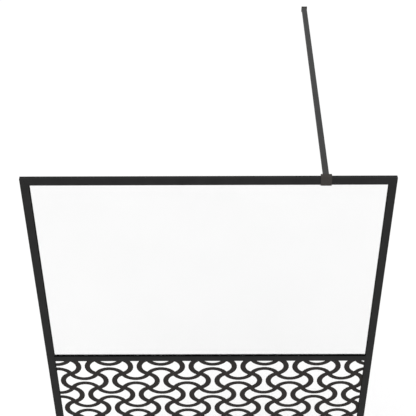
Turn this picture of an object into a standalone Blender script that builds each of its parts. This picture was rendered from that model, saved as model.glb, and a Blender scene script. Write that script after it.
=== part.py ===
"""Walk-in shower screen: glazed upper pane, fretwork lower panel and a square wall brace.

X runs along the panel, Y from its front face towards the braced wall, and Z is up.
The origin is on the floor, under the middle of the panel and of its glass.
Every length is in metres.
"""
import math
from collections import namedtuple

import bmesh
import bpy
from mathutils import Vector
from mathutils.geometry import delaunay_2d_cdt

MM = 0.001

# Overall sizes
PANEL_WIDTH = 1000 * MM          # wall face of the channel to the free edge
PANEL_HEIGHT = 1950 * MM
MID_RAIL_DROP = 703 * MM         # top of the panel down to the mid rail's upper face
BRACE_REACH = 879.4 * MM         # glass mid-plane to the braced wall
BRACE_X = 312 * MM               # where the brace sits along the panel

# Frame profile
RAIL_FACE = 21 * MM
WALL = 1.5 * MM
POCKET_DEPTH = 8.5 * MM          # outer members, open towards the pane
MID_CHAMBER = 5.6 * MM           # height of the mid rail's closed hollow
MID_WEB = 1.2 * MM
MID_POCKET_EXTRA = 1 * MM        # upper pocket deeper than the lower one

# Wall channel
CHANNEL_WEB = 1.5 * MM
CHANNEL_LEG_WALL = 1.2 * MM
CHANNEL_LEG_END = 1.3 * MM       # legs stop this far short of the stile's web
CHANNEL_LEG_CLEAR = 5 * MM       # legs stop this far short of the corner keys
WALL_HOLE_D = 5 * MM
WALL_HOLE_END = 150 * MM
WALL_HOLE_COUNT = 4

# Pane, sheet and seals
GLASS = 6 * MM
SHEET = 2 * MM
SEAL_WALL = 1 * MM
SEAL_SIDE = 0.9 * MM             # beside the pane
SEAL_LIP_HEIGHT = 1.2 * MM       # proud of the frame, around the pane
SEAL_LIP_INSET = 0.4 * MM        # lip's edge back from the frame's faces
SETTING_BLOCK_LENGTH = 60 * MM
SETTING_BLOCK_END = 150 * MM
SETTING_BLOCK = 0.9 * MM         # thickness, under the pane

# Fretwork, as a chequerboard of cells between wavy lines
CELL_X = 80.6 * MM
CELL_Z = 67.4 * MM
FIRST_COLUMN = 3.2 * MM          # left stile's inner edge to the first column's centre
FIRST_ROW = 32 * MM              # mid rail's lower edge to the first row's centre
FRET_TRIM = 0.4 * MM             # how far the cells run on behind the frame
SMALLEST_CELL = 20 * MM * MM     # area below which a cut-off cell isn't opened
SHEET_TRIANGLES = 12800          # sets how many straight pieces an arc of the fretwork gets

# Corner keys and mid rail spigots
KEY_ARM = 45 * MM
KEY_THICKNESS = 5 * MM
KEY_SCREW_OFFSET = 32 * MM       # from the frame's outer corner
SPIGOT_LENGTH = 32 * MM

# Small screws
SCREW_D = 3.4 * MM
SCREW_HEAD_D = 6 * MM
SCREW_HEAD_HEIGHT = 1.6 * MM
SCREW_BITE = 3 * MM              # into the piece it holds
MID_SCREW_D = 3 * MM
MID_SCREW_HEAD_D = 5.2 * MM
MID_SCREW_LENGTH = 22 * MM
LOCK_SCREW_END = 250 * MM
LOCK_SCREW_COUNT = 3
LOCK_NUT_CLEAR = 1 * MM          # each end of the nut plate, inside the stile
LOCK_NUT_HEIGHT = 8 * MM
LOCK_NUT_THICKNESS = 2.2 * MM
CAP_D = 9 * MM
CAP_WALL = 1 * MM

# Clamp on the top rail
CLAMP_TOP = 4.5 * MM             # above the panel's top
CLAMP_HEIGHT = 28.7 * MM
CLAMP_FRONT = 1.2 * MM
CLAMP_BACK = 1.3 * MM
CLAMP_CHAMFER = 0.8 * MM
CLAMP_LUG = 4.3 * MM             # depth of the two lugs that hold the grub screws
CLAMP_LEDGE = 2 * MM             # joins the lugs to the back
LINER = 0.6 * MM
PLATE = 1.1 * MM
GRUB_D = 3.6 * MM
GRUB_SIDE = 3 * MM               # bar's side to a grub screw's axis
GRUB_EDGE = 4.4 * MM             # a grub screw's axis to the clamp's side
HEX_KEY = 2 * MM
HEX_DEPTH = 1.5 * MM

# Brace
BAR = 15 * MM
BAR_WALL = 1.5 * MM
BAR_TOP = 3 * MM                 # above the panel's top
SPIGOT_REACH = 50 * MM
BAR_SCREW_PLACE = 16 * MM        # from the bar's end at the clamp
SOCKET_WALL = 1.2 * MM
SOCKET_DEPTH = 5 * MM
SOCKET_BACK = 2 * MM
PLUG_REACH = 28 * MM             # from the wall
SOCKET_SCREW_PLACE = 17 * MM     # from the wall
SOCKET_HOLE_D = 5 * MM

# Clearances
GAP = 0.3 * MM                   # between pieces that touch
ROUND = 12                       # sides of a screw

# Derived places
FRAME_DEPTH = GLASS + 2 * (GAP + SEAL_SIDE + GAP + WALL)
HALF_DEPTH = FRAME_DEPTH / 2
FRAME_LEFT = -PANEL_WIDTH / 2 + CHANNEL_WEB + GAP
FRAME_RIGHT = PANEL_WIDTH / 2
INNER_LEFT = FRAME_LEFT + RAIL_FACE
INNER_RIGHT = FRAME_RIGHT - RAIL_FACE
CHAMBER_END = RAIL_FACE - POCKET_DEPTH - WALL
MID_TOP = PANEL_HEIGHT - MID_RAIL_DROP
MID_BOTTOM = MID_TOP - RAIL_FACE
MID_POCKET_BOTTOM = (RAIL_FACE - MID_CHAMBER - 2 * MID_WEB - MID_POCKET_EXTRA) / 2
MID_POCKET_TOP = MID_POCKET_BOTTOM + MID_POCKET_EXTRA
POCKET_HALF = HALF_DEPTH - WALL
SEAL_HALF = POCKET_HALF - GAP
GLASS_BITE = MID_POCKET_TOP - SETTING_BLOCK - SEAL_WALL - 3 * GAP
SHEET_BITE = MID_POCKET_BOTTOM - SEAL_WALL - 2 * GAP
MITRE_SET = GAP * math.sqrt(0.5)
LEG_SETBACK = KEY_ARM + CHANNEL_LEG_CLEAR
LEG_LENGTH = GAP + CHAMBER_END - CHANNEL_LEG_END
LOCK_NUT_LENGTH = CHAMBER_END - 2 * LOCK_NUT_CLEAR
BAR_Z = PANEL_HEIGHT + BAR_TOP - BAR / 2
SPIGOT_HALF = BAR / 2 - BAR_WALL - GAP
GRUB_SPREAD = BAR + 2 * GRUB_SIDE
CLAMP_WIDTH = GRUB_SPREAD + 2 * GRUB_EDGE
CLAMP_REAR = HALF_DEPTH + GAP + CLAMP_BACK
LEDGE_LOW = BAR_Z - SPIGOT_HALF - GAP
PLATE_FRONT = HALF_DEPTH + GAP
PLATE_LOW = PANEL_HEIGHT - RAIL_FACE + GAP
PLATE_HIGH = LEDGE_LOW - GAP
LUG_FRONT = PLATE_FRONT + PLATE + GAP
LUG_REAR = LUG_FRONT + CLAMP_LUG
BAR_START = CLAMP_REAR + GAP
BAR_END = BRACE_REACH - SOCKET_BACK - GAP
SOCKET = BAR + 2 * (GAP + SOCKET_WALL)

Wave = namedtuple("Wave", "rise width")
ACROSS = Wave(rise=0.354, width=0.180)     # lines that run along X, in cells
UPRIGHT = Wave(rise=0.335, width=0.208)   # lines that run along Z, in cells

FINISHES = {
    "black_frame": ((0.028, 0.028, 0.028, 1), 0.42, 0.0),
    "black_fret": ((0.026, 0.022, 0.021, 1), 0.5, 0.0),
    "graphite_clamp": ((0.055, 0.052, 0.05, 1), 0.4, 0.6),
    "clear_glass": ((0.93, 0.96, 0.95, 0.35), 0.02, 0.0),
    "black_rubber": ((0.006, 0.006, 0.006, 1), 0.7, 0.0),
    "zinc_steel": ((0.45, 0.45, 0.44, 1), 0.3, 1.0),
    "mill_aluminium": ((0.6, 0.6, 0.6, 1), 0.4, 1.0),
    "black_plastic": ((0.02, 0.02, 0.02, 1), 0.5, 0.0),
}


def clear_scene():
    for item in list(bpy.data.objects):
        bpy.data.objects.remove(item, do_unlink=True)


def make_material(piece, finish):
    colour, roughness, metallic = FINISHES[finish]
    material = bpy.data.materials.new(piece + "_" + finish)
    material.use_nodes = True
    shader = material.node_tree.nodes["Principled BSDF"]
    shader.inputs["Base Color"].default_value = colour
    shader.inputs["Roughness"].default_value = roughness
    shader.inputs["Metallic"].default_value = metallic
    return material


def add_object(name, mesh_data, finish=None):
    """Turn a bmesh into an object with its normals outward."""
    bmesh.ops.recalc_face_normals(mesh_data, faces=mesh_data.faces)
    if mesh_data.calc_volume(signed=True) < 0:
        bmesh.ops.reverse_faces(mesh_data, faces=mesh_data.faces)
    mesh = bpy.data.meshes.new(name)
    mesh_data.to_mesh(mesh)
    mesh_data.free()
    item = bpy.data.objects.new(name, mesh)
    bpy.context.scene.collection.objects.link(item)
    if finish:
        mesh.materials.append(make_material(name, finish))
    return item


def shade_round(item):
    item.data.shade_smooth()
    item.data.set_sharp_from_angle(angle=math.radians(35))


def add_box(mesh_data, low, high):
    low = Vector(low)
    high = Vector(high)
    made = bmesh.ops.create_cube(mesh_data, size=1)["verts"]
    bmesh.ops.scale(mesh_data, vec=high - low, verts=made)
    bmesh.ops.translate(mesh_data, vec=(low + high) / 2, verts=made)


def add_rod(mesh_data, start, axis, length, diameter, sides=ROUND):
    """Add a cylinder from its start point along an axis."""
    axis = Vector(axis)
    made = bmesh.ops.create_cone(mesh_data, cap_ends=True, segments=sides,
                                 radius1=diameter / 2, radius2=diameter / 2, depth=length)["verts"]
    bmesh.ops.rotate(mesh_data, matrix=axis.to_track_quat("Z", "Y").to_matrix(), verts=made)
    bmesh.ops.translate(mesh_data, vec=Vector(start) + axis * length / 2, verts=made)


def boxes(name, pairs, finish=None):
    mesh_data = bmesh.new()
    for low, high in pairs:
        add_box(mesh_data, low, high)
    return add_object(name, mesh_data, finish)


def rods(name, specs):
    mesh_data = bmesh.new()
    for spec in specs:
        add_rod(mesh_data, *spec)
    return add_object(name, mesh_data)


def extrude_outlines(name, loops, place, shift, finish=None):
    """Fill flat outlines, the later ones as holes, and extrude them.

    place turns an outline's point into a start position, and shift gives the move of the far end
    for that position.
    """
    mesh_data = bmesh.new()
    edges = []
    for loop in loops:
        corners = [mesh_data.verts.new(place(*point)) for point in loop]
        edges += [mesh_data.edges.new((corners[i - 1], corners[i])) for i in range(len(corners))]
    bmesh.ops.triangle_fill(mesh_data, use_beauty=True, use_dissolve=False, edges=edges)
    made = bmesh.ops.extrude_face_region(mesh_data, geom=mesh_data.faces[:])["geom"]
    for item in made:
        if isinstance(item, bmesh.types.BMVert):
            item.co += shift(item.co)
    return add_object(name, mesh_data, finish)


def turned(name, start, axis, profile, finish, sides=ROUND):
    """Turn a profile of (radius, distance) points about an axis, and close both its ends."""
    mesh_data = bmesh.new()
    rings = []
    for radius, distance in profile:
        ring = []
        for i in range(sides):
            angle = 2 * math.pi * i / sides
            ring.append(mesh_data.verts.new((radius * math.cos(angle), radius * math.sin(angle), distance)))
        rings.append(ring)
    for lower, upper in zip(rings, rings[1:]):
        for i in range(sides):
            mesh_data.faces.new((lower[i - 1], lower[i], upper[i], upper[i - 1]))
    mesh_data.faces.new(rings[0])
    mesh_data.faces.new(rings[-1])
    item = add_object(name, mesh_data, finish)
    item.location = start
    item.rotation_euler = Vector(axis).to_track_quat("Z", "Y").to_euler()
    shade_round(item)
    return item


def screw(name, seat, axis, head, shank, finish="zinc_steel"):
    """A screw whose axis points out of its head: head and shank are (diameter, length) pairs.

    The head stands on its seat, and the shank starts under it.
    """
    head_d, head_height = head
    shank_d, shank_length = shank
    profile = [(shank_d / 2, -shank_length), (shank_d / 2, 0), (head_d / 2, 0), (head_d / 2, head_height)]
    return turned(name, seat, axis, profile, finish)


def combine(item, other, operation):
    other.hide_render = True
    other.display_type = "WIRE"
    modifier = item.modifiers.new(other.name, "BOOLEAN")
    modifier.operation = operation
    modifier.solver = "EXACT"
    modifier.object = other


def cut(item, other):
    combine(item, other, "DIFFERENCE")


def fuse(item, other):
    combine(item, other, "UNION")


def spaced(first, last, count):
    return [first + (last - first) * i / (count - 1) for i in range(count)]


# Frame members

def closed_section():
    """Depth and inward distance of an outer member's walls, with its chamber as a hole."""
    outline = [
        (-HALF_DEPTH, 0), (HALF_DEPTH, 0), (HALF_DEPTH, RAIL_FACE), (POCKET_HALF, RAIL_FACE),
        (POCKET_HALF, RAIL_FACE - POCKET_DEPTH), (-POCKET_HALF, RAIL_FACE - POCKET_DEPTH),
        (-POCKET_HALF, RAIL_FACE), (-HALF_DEPTH, RAIL_FACE),
    ]
    chamber = [
        (-POCKET_HALF, WALL), (POCKET_HALF, WALL),
        (POCKET_HALF, CHAMBER_END), (-POCKET_HALF, CHAMBER_END),
    ]
    return [outline, chamber]


def open_section():
    """The left stile's section, open towards the wall for the channel's legs."""
    outline = [
        (-HALF_DEPTH, 0), (-POCKET_HALF, 0), (-POCKET_HALF, CHAMBER_END), (POCKET_HALF, CHAMBER_END),
        (POCKET_HALF, 0), (HALF_DEPTH, 0), (HALF_DEPTH, RAIL_FACE), (POCKET_HALF, RAIL_FACE),
        (POCKET_HALF, RAIL_FACE - POCKET_DEPTH), (-POCKET_HALF, RAIL_FACE - POCKET_DEPTH),
        (-POCKET_HALF, RAIL_FACE), (-HALF_DEPTH, RAIL_FACE),
    ]
    return [outline]


def mitred_member(name, loops, length, origin, turn):
    """Extrude a section along local X with both ends cut at 45 degrees, then turn it into place."""
    def place(depth, inward):
        return (inward + MITRE_SET, depth, inward)

    def shift(position):
        return Vector((length - 2 * position.z - 2 * MITRE_SET, 0, 0))

    member = extrude_outlines(name, loops, place, shift, "black_frame")
    member.location = origin
    member.rotation_euler = (0, math.radians(turn), 0)
    return member


def corner_places():
    """Each frame corner with the inward directions of its rail and its stile."""
    return {
        "top_left": (FRAME_LEFT, PANEL_HEIGHT, 1, -1),
        "top_right": (FRAME_RIGHT, PANEL_HEIGHT, -1, -1),
        "bottom_left": (FRAME_LEFT, 0, 1, 1),
        "bottom_right": (FRAME_RIGHT, 0, -1, 1),
    }


def key_screw_places(side):
    """Where the corner screws go on one member: a rail (top, bottom) or a stile (left, right)."""
    chamber_middle = (WALL + CHAMBER_END) / 2
    places = []
    for corner, (x, z, along, up) in corner_places().items():
        if side in ("top", "bottom") and corner.startswith(side):
            places.append((x + along * KEY_SCREW_OFFSET, z + up * chamber_middle))
        if side in ("left", "right") and corner.endswith(side):
            places.append((x + along * chamber_middle, z + up * KEY_SCREW_OFFSET))
    return places


def key_screw_holes(side):
    start = POCKET_HALF - WALL
    length = 3 * WALL
    diameter = SCREW_D + 2 * GAP
    return [((x, start, z), (0, 1, 0), length, diameter) for x, z in key_screw_places(side)]


def lock_heights():
    return spaced(LOCK_SCREW_END, PANEL_HEIGHT - LOCK_SCREW_END, LOCK_SCREW_COUNT)


def lock_x():
    return FRAME_LEFT + CHAMBER_END - LOCK_NUT_CLEAR - LOCK_NUT_LENGTH / 2


def mid_screw_z():
    return MID_BOTTOM + MID_POCKET_BOTTOM + MID_WEB + mid_chamber() / 2


def mid_chamber():
    return RAIL_FACE - MID_POCKET_TOP - MID_POCKET_BOTTOM - 2 * MID_WEB


def mid_screw_hole(inner_edge, outward):
    web_face = inner_edge + outward * (POCKET_DEPTH - WALL)
    diameter = MID_SCREW_D + 2 * GAP
    return ((web_face, 0, mid_screw_z()), (outward, 0, 0), 3 * WALL, diameter)


def make_frame():
    width = FRAME_RIGHT - FRAME_LEFT
    closed = closed_section()
    bottom = mitred_member("bottom_rail", closed, width, (FRAME_LEFT, 0, 0), 0)
    top = mitred_member("top_rail", closed, width, (FRAME_RIGHT, 0, PANEL_HEIGHT), 180)
    right = mitred_member("right_stile", closed, PANEL_HEIGHT, (FRAME_RIGHT, 0, 0), -90)
    left = mitred_member("left_stile", open_section(), PANEL_HEIGHT, (FRAME_LEFT, 0, PANEL_HEIGHT), 90)
    cut(bottom, rods("bottom_rail_holes", key_screw_holes("bottom")))
    cut(top, rods("top_rail_holes", key_screw_holes("top")))
    right_holes = key_screw_holes("right") + [mid_screw_hole(INNER_RIGHT, 1)]
    cut(right, rods("right_stile_holes", right_holes))
    lock_holes = []
    for z in lock_heights():
        start = (lock_x(), POCKET_HALF - WALL, z)
        lock_holes.append((start, (0, 1, 0), 3 * WALL, SCREW_D + 2 * GAP))
    left_holes = key_screw_holes("left") + [mid_screw_hole(INNER_LEFT, -1)] + lock_holes
    cut(left, rods("left_stile_holes", left_holes))


def make_mid_rail():
    top_floor = RAIL_FACE - MID_POCKET_TOP
    outline = [
        (-HALF_DEPTH, 0), (-POCKET_HALF, 0), (-POCKET_HALF, MID_POCKET_BOTTOM),
        (POCKET_HALF, MID_POCKET_BOTTOM), (POCKET_HALF, 0), (HALF_DEPTH, 0),
        (HALF_DEPTH, RAIL_FACE), (POCKET_HALF, RAIL_FACE), (POCKET_HALF, top_floor),
        (-POCKET_HALF, top_floor), (-POCKET_HALF, RAIL_FACE), (-HALF_DEPTH, RAIL_FACE),
    ]
    low = MID_POCKET_BOTTOM + MID_WEB
    high = top_floor - MID_WEB
    chamber = [(-POCKET_HALF, low), (POCKET_HALF, low), (POCKET_HALF, high), (-POCKET_HALF, high)]
    start = INNER_LEFT + GAP
    length = INNER_RIGHT - INNER_LEFT - 2 * GAP

    def place(depth, height):
        return (start, depth, MID_BOTTOM + height)

    def shift(_position):
        return Vector((length, 0, 0))

    extrude_outlines("mid_rail", [outline, chamber], place, shift, "black_frame")


def make_mid_rail_fixings():
    """Spigots that join the mid rail to the stiles, and the screws through the stiles' webs."""
    half_height = mid_chamber() / 2 - GAP
    for side, inner, outward in (("left", INNER_LEFT, -1), ("right", INNER_RIGHT, 1)):
        web = inner + outward * POCKET_DEPTH
        outer_end = web - outward * GAP
        inner_end = outer_end - outward * SPIGOT_LENGTH
        low = (min(outer_end, inner_end), -SEAL_HALF, mid_screw_z() - half_height)
        high = (max(outer_end, inner_end), SEAL_HALF, mid_screw_z() + half_height)
        spigot = boxes("mid_rail_spigot_" + side, [(low, high)], "mill_aluminium")
        mouth = (outer_end + outward * WALL, 0, mid_screw_z())
        pilot = (mouth, (-outward, 0, 0), MID_SCREW_LENGTH + WALL, MID_SCREW_D + 2 * GAP)
        cut(spigot, rods("mid_rail_pilot_" + side, [pilot]))
        seat = (web + outward * (WALL + GAP), 0, mid_screw_z())
        screw("mid_rail_screw_" + side, seat, (outward, 0, 0), (MID_SCREW_HEAD_D, SCREW_HEAD_HEIGHT),
              (MID_SCREW_D, MID_SCREW_LENGTH))


def make_corner_keys():
    for corner, (x, z, along, up) in corner_places().items():
        near = WALL + GAP
        far = CHAMBER_END - GAP
        outline = [(near, near), (KEY_ARM, near), (KEY_ARM, far), (far, far), (far, KEY_ARM), (near, KEY_ARM)]

        def place(run, rise, x=x, z=z, along=along, up=up):
            return (x + along * run, -KEY_THICKNESS / 2, z + up * rise)

        def shift(_position):
            return Vector((0, KEY_THICKNESS, 0))

        key = extrude_outlines("corner_key_" + corner, [outline], place, shift, "mill_aluminium")
        middle = (near + far) / 2
        spots = [
            (x + along * KEY_SCREW_OFFSET, z + up * middle),
            (x + along * middle, z + up * KEY_SCREW_OFFSET),
        ]
        start = KEY_THICKNESS / 2 - SCREW_BITE - GAP
        holes = [((px, start, pz), (0, 1, 0), 2 * SCREW_BITE, SCREW_D + 2 * GAP) for px, pz in spots]
        cut(key, rods("key_pilots_" + corner, holes))


def back_screw(name, x, z, tip):
    """A pan-head screw on the frame's back face, reaching in to the depth of its tip."""
    seat = HALF_DEPTH + GAP
    screw(name, (x, seat, z), (0, 1, 0), (SCREW_HEAD_D, SCREW_HEAD_HEIGHT), (SCREW_D, seat - tip))


def make_corner_screws():
    for side in ("top", "bottom", "left", "right"):
        for x, z in key_screw_places(side):
            left_or_right = "left" if x < 0 else "right"
            low_or_high = "bottom" if z < PANEL_HEIGHT / 2 else "top"
            kind = "rail" if side in ("top", "bottom") else "stile"
            name = "_".join(("corner_screw", low_or_high, left_or_right, kind))
            back_screw(name, x, z, KEY_THICKNESS / 2 - SCREW_BITE)


# Wall channel and what locks the frame to it

def make_wall_channel():
    back = -PANEL_WIDTH / 2
    web = back + CHANNEL_WEB
    tip = web + LEG_LENGTH
    outer = SEAL_HALF
    inner = outer - CHANNEL_LEG_WALL
    outline = [
        (back, -HALF_DEPTH), (web, -HALF_DEPTH), (web, -outer), (tip, -outer), (tip, -inner), (web, -inner),
        (web, inner), (tip, inner), (tip, outer), (web, outer), (web, HALF_DEPTH), (back, HALF_DEPTH),
    ]

    def place(x, y):
        return (x, y, 0)

    def shift(_position):
        return Vector((0, 0, PANEL_HEIGHT))

    channel = extrude_outlines("wall_channel", [outline], place, shift, "black_frame")
    past = FRAME_DEPTH
    cuts = [
        ((web, -past, -past), (tip + past, past, LEG_SETBACK)),
        ((web, -past, PANEL_HEIGHT - LEG_SETBACK), (tip + past, past, PANEL_HEIGHT + past)),
    ]
    notch = SCREW_D / 2 + GAP
    for z in lock_heights():
        cuts.append(((lock_x() - notch, inner / 2, z - notch), (tip + past, past, z + notch)))
    cut(channel, boxes("wall_channel_cuts", cuts))
    holes = []
    for z in spaced(WALL_HOLE_END, PANEL_HEIGHT - WALL_HOLE_END, WALL_HOLE_COUNT):
        holes.append(((back - CHANNEL_WEB, 0, z), (1, 0, 0), 3 * CHANNEL_WEB, WALL_HOLE_D))
    cut(channel, rods("wall_channel_holes", holes))


def make_lock_fixings():
    """Screws through the left stile's back that pull a nut plate against the channel's leg."""
    high = SEAL_HALF - CHANNEL_LEG_WALL - GAP
    low = high - LOCK_NUT_THICKNESS
    x = lock_x()
    half_length = LOCK_NUT_LENGTH / 2
    half_height = LOCK_NUT_HEIGHT / 2
    for number, z in enumerate(lock_heights(), 1):
        corners = ((x - half_length, low, z - half_height), (x + half_length, high, z + half_height))
        plate = boxes("channel_lock_nut_%d" % number, [corners], "zinc_steel")
        pilot = ((x, low - WALL, z), (0, 1, 0), 3 * LOCK_NUT_THICKNESS, SCREW_D + 2 * GAP)
        cut(plate, rods("lock_nut_hole_%d" % number, [pilot]))
        back_screw("channel_lock_screw_%d" % number, x, z, low)
        make_lock_cap("lock_screw_cap_%d" % number, x, z)


def make_lock_cap(name, x, z):
    recess = SCREW_HEAD_HEIGHT + GAP
    outer = CAP_D / 2
    inner = outer - CAP_WALL
    profile = [(inner, recess), (inner, 0), (outer, 0), (outer, recess + CAP_WALL)]
    turned(name, (x, HALF_DEPTH + GAP, z), (0, 1, 0), profile, "black_plastic")


# Pane, sheet and their seals

def pane_edges():
    """Left, right, bottom and top edges of the glass."""
    head = PANEL_HEIGHT - RAIL_FACE
    return (INNER_LEFT - GLASS_BITE, INNER_RIGHT + GLASS_BITE, MID_TOP - GLASS_BITE, head + GLASS_BITE)


def sheet_edges():
    """Left, right, bottom and top edges of the fretwork sheet."""
    bottom = RAIL_FACE - SHEET_BITE
    return (INNER_LEFT - SHEET_BITE, INNER_RIGHT + SHEET_BITE, bottom, MID_BOTTOM + SHEET_BITE)


def make_glass():
    left, right, bottom, top = pane_edges()
    boxes("glass_pane", [((left, -GLASS / 2, bottom), (right, GLASS / 2, top))], "clear_glass")


def seal_section(thickness, bite, lip):
    """U section around an edge: depth against height above the edge, with lips over the frame if asked."""
    inner = thickness / 2 + GAP
    base = -GAP - SEAL_WALL
    wing = [(inner, -GAP)]
    if lip:
        lip_half = HALF_DEPTH - SEAL_LIP_INSET
        top = bite + SEAL_LIP_HEIGHT
        seat = bite + GAP
        wing += [(inner, top), (lip_half, top), (lip_half, seat), (SEAL_HALF, seat)]
    else:
        wing += [(inner, bite), (SEAL_HALF, bite)]
    wing.append((SEAL_HALF, base))
    return wing + [(-depth, height) for depth, height in reversed(wing)]


def make_seals(name, edges, thickness, bite, lip):
    """Four strips around a pane, mitred so that they never cross."""
    left, right, bottom, top = edges
    sides = {
        "bottom": ((left, bottom), right - left, (1, 0), (0, 1)),
        "top": ((right, top), right - left, (-1, 0), (0, -1)),
        "right": ((right, bottom), top - bottom, (0, 1), (-1, 0)),
        "left": ((left, top), top - bottom, (0, -1), (1, 0)),
    }
    for side, (corner, length, run, inward) in sides.items():

        def place(depth, level, corner=corner, run=run, inward=inward):
            along = level + MITRE_SET
            x = corner[0] + run[0] * along + inward[0] * level
            z = corner[1] + run[1] * along + inward[1] * level
            return (x, depth, z)

        def shift(position, corner=corner, length=length, run=run, inward=inward):
            level = (position.x - corner[0]) * inward[0] + (position.z - corner[1]) * inward[1]
            travel = length - 2 * level - 2 * MITRE_SET
            return Vector((run[0] * travel, 0, run[1] * travel))

        outline = seal_section(thickness, bite, lip)
        extrude_outlines(name + "_" + side, [outline], place, shift, "black_rubber")


def make_setting_blocks():
    set_blocks("glass_setting_block", MID_TOP - MID_POCKET_TOP + GAP, SETTING_BLOCK)
    low_block = POCKET_DEPTH - SHEET_BITE - SEAL_WALL - 3 * GAP
    set_blocks("fret_setting_block", RAIL_FACE - POCKET_DEPTH + GAP, low_block)


def set_blocks(name, floor, thickness):
    half = SETTING_BLOCK_LENGTH / 2
    for side, x in (("left", INNER_LEFT + SETTING_BLOCK_END), ("right", INNER_RIGHT - SETTING_BLOCK_END)):
        boxes(name + "_" + side, [((x - half, -SEAL_HALF, floor), (x + half, SEAL_HALF, floor + thickness))],
              "black_rubber")


# Fretwork

def wave_radius(wave):
    return (0.25 + wave.rise ** 2) / (2 * wave.rise)


def meeting_point(low_centre, low_radius, side_centre, side_radius):
    """The upper right crossing of a circle centred on the Y axis and one centred on the X axis."""
    distance = math.hypot(side_centre, low_centre)
    along = (low_radius ** 2 - side_radius ** 2 + distance ** 2) / (2 * distance)
    away = math.sqrt(low_radius ** 2 - along ** 2)
    unit_x = side_centre / distance
    unit_y = -low_centre / distance
    candidates = [(along * unit_x + s * away * unit_y, low_centre + along * unit_y - s * away * unit_x)
                  for s in (1, -1)]
    return min(candidates, key=lambda point: math.hypot(point[0] - 0.5, point[1] - 0.5))


def bone_outline(pinch, swell, steps):
    """A bone-shaped opening around the origin, in cells and anticlockwise.

    The pinch lines bend into it above and below, and the swell lines bend out of it at each side.
    """
    pinch_radius = wave_radius(pinch) + pinch.width / 2
    pinch_centre = 0.5 - pinch.rise + wave_radius(pinch)
    swell_radius = wave_radius(swell) - swell.width / 2
    swell_centre = 0.5 + swell.rise - wave_radius(swell)
    corner = meeting_point(pinch_centre, pinch_radius, swell_centre, swell_radius)
    reach = math.asin(corner[0] / pinch_radius)
    spread = math.atan2(corner[1], corner[0] - swell_centre)
    points = []
    for i in range(steps):
        angle = -reach + 2 * reach * i / steps
        points.append((pinch_radius * math.sin(angle), pinch_centre - pinch_radius * math.cos(angle)))
    for i in range(steps):
        angle = spread - 2 * spread * i / steps
        points.append((swell_centre + swell_radius * math.cos(angle), swell_radius * math.sin(angle)))
    points += [(-x, -y) for x, y in points]
    return points[::-1]


def arc_steps(openings):
    """Straight pieces in each arc: fewer in a sheet with more openings.

    An opening has 4 arcs, and adds 4 triangles for each straight piece and 4 more.
    """
    return int((SHEET_TRIANGLES / openings - 4) / 16)


def outline_area(outline):
    total = 0.0
    for i, (x, z) in enumerate(outline):
        next_x, next_z = outline[(i + 1) % len(outline)]
        total += x * next_z - next_x * z
    return abs(total) / 2


def kept_chains(outline, axis, limit, side):
    """The runs of an outline on the kept side of a straight edge, each with its two crossings."""
    count = len(outline)
    height = [side * (point[axis] - limit) for point in outline]
    start = next(i for i in range(count) if height[i] < 0 <= height[(i + 1) % count])
    chains = []
    for step in range(count):
        i = (start + step) % count
        j = (i + 1) % count
        crossing = None
        if (height[i] < 0) != (height[j] < 0):
            share = height[i] / (height[i] - height[j])
            crossing = tuple(a + (b - a) * share for a, b in zip(outline[i], outline[j]))
        if height[i] < 0 <= height[j]:
            chains.append([crossing])
        if height[j] >= 0:
            chains[-1].append(outline[j])
        elif crossing:
            chains[-1].append(crossing)
    return chains


def clip(outline, axis, limit, side):
    """The pieces of a closed outline on one side of a straight edge."""
    inside = [side * (point[axis] - limit) >= 0 for point in outline]
    if all(inside):
        return [outline]
    if not any(inside):
        return []
    chains = kept_chains(outline, axis, limit, side)
    ends = []
    for number, chain in enumerate(chains):
        ends.append((chain[0][1 - axis], number, "start"))
        ends.append((chain[-1][1 - axis], number, "end"))
    ends.sort()
    follows = {}
    for first, second in zip(ends[::2], ends[1::2]):
        leaving, entering = (first, second) if first[2] == "end" else (second, first)
        follows[leaving[1]] = entering[1]
    pieces = []
    while follows:
        number = next(iter(follows))
        piece = []
        while number in follows:
            piece += chains[number]
            number = follows.pop(number)
        pieces.append(piece)
    return pieces


def fret_cells():
    """Every opening of the fretwork, trimmed to the lower field of the frame."""
    low_x = INNER_LEFT - FRET_TRIM
    high_x = INNER_RIGHT + FRET_TRIM
    low_z = RAIL_FACE - FRET_TRIM
    high_z = MID_BOTTOM + FRET_TRIM
    columns = math.ceil((high_x - low_x) / CELL_X) + 2
    rows = math.ceil((high_z - low_z) / CELL_Z) + 2
    steps = arc_steps((high_x - low_x) / CELL_X * (high_z - low_z) / CELL_Z)
    lying = bone_outline(ACROSS, UPRIGHT, steps)
    standing = [(y, x) for x, y in reversed(bone_outline(UPRIGHT, ACROSS, steps))]
    cells = []
    for column in range(-1, columns):
        for row in range(-1, rows):
            shape = standing if (column + row) % 2 else lying
            x = INNER_LEFT + FIRST_COLUMN + column * CELL_X
            z = MID_BOTTOM - FIRST_ROW - row * CELL_Z
            pieces = [[(x + u * CELL_X, z + v * CELL_Z) for u, v in shape]]
            for axis, limit, side in ((0, low_x, 1), (0, high_x, -1), (1, low_z, 1), (1, high_z, -1)):
                pieces = [part for piece in pieces for part in clip(piece, axis, limit, side)]
            cells += [piece for piece in pieces if outline_area(piece) > SMALLEST_CELL]
    return cells


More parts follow.
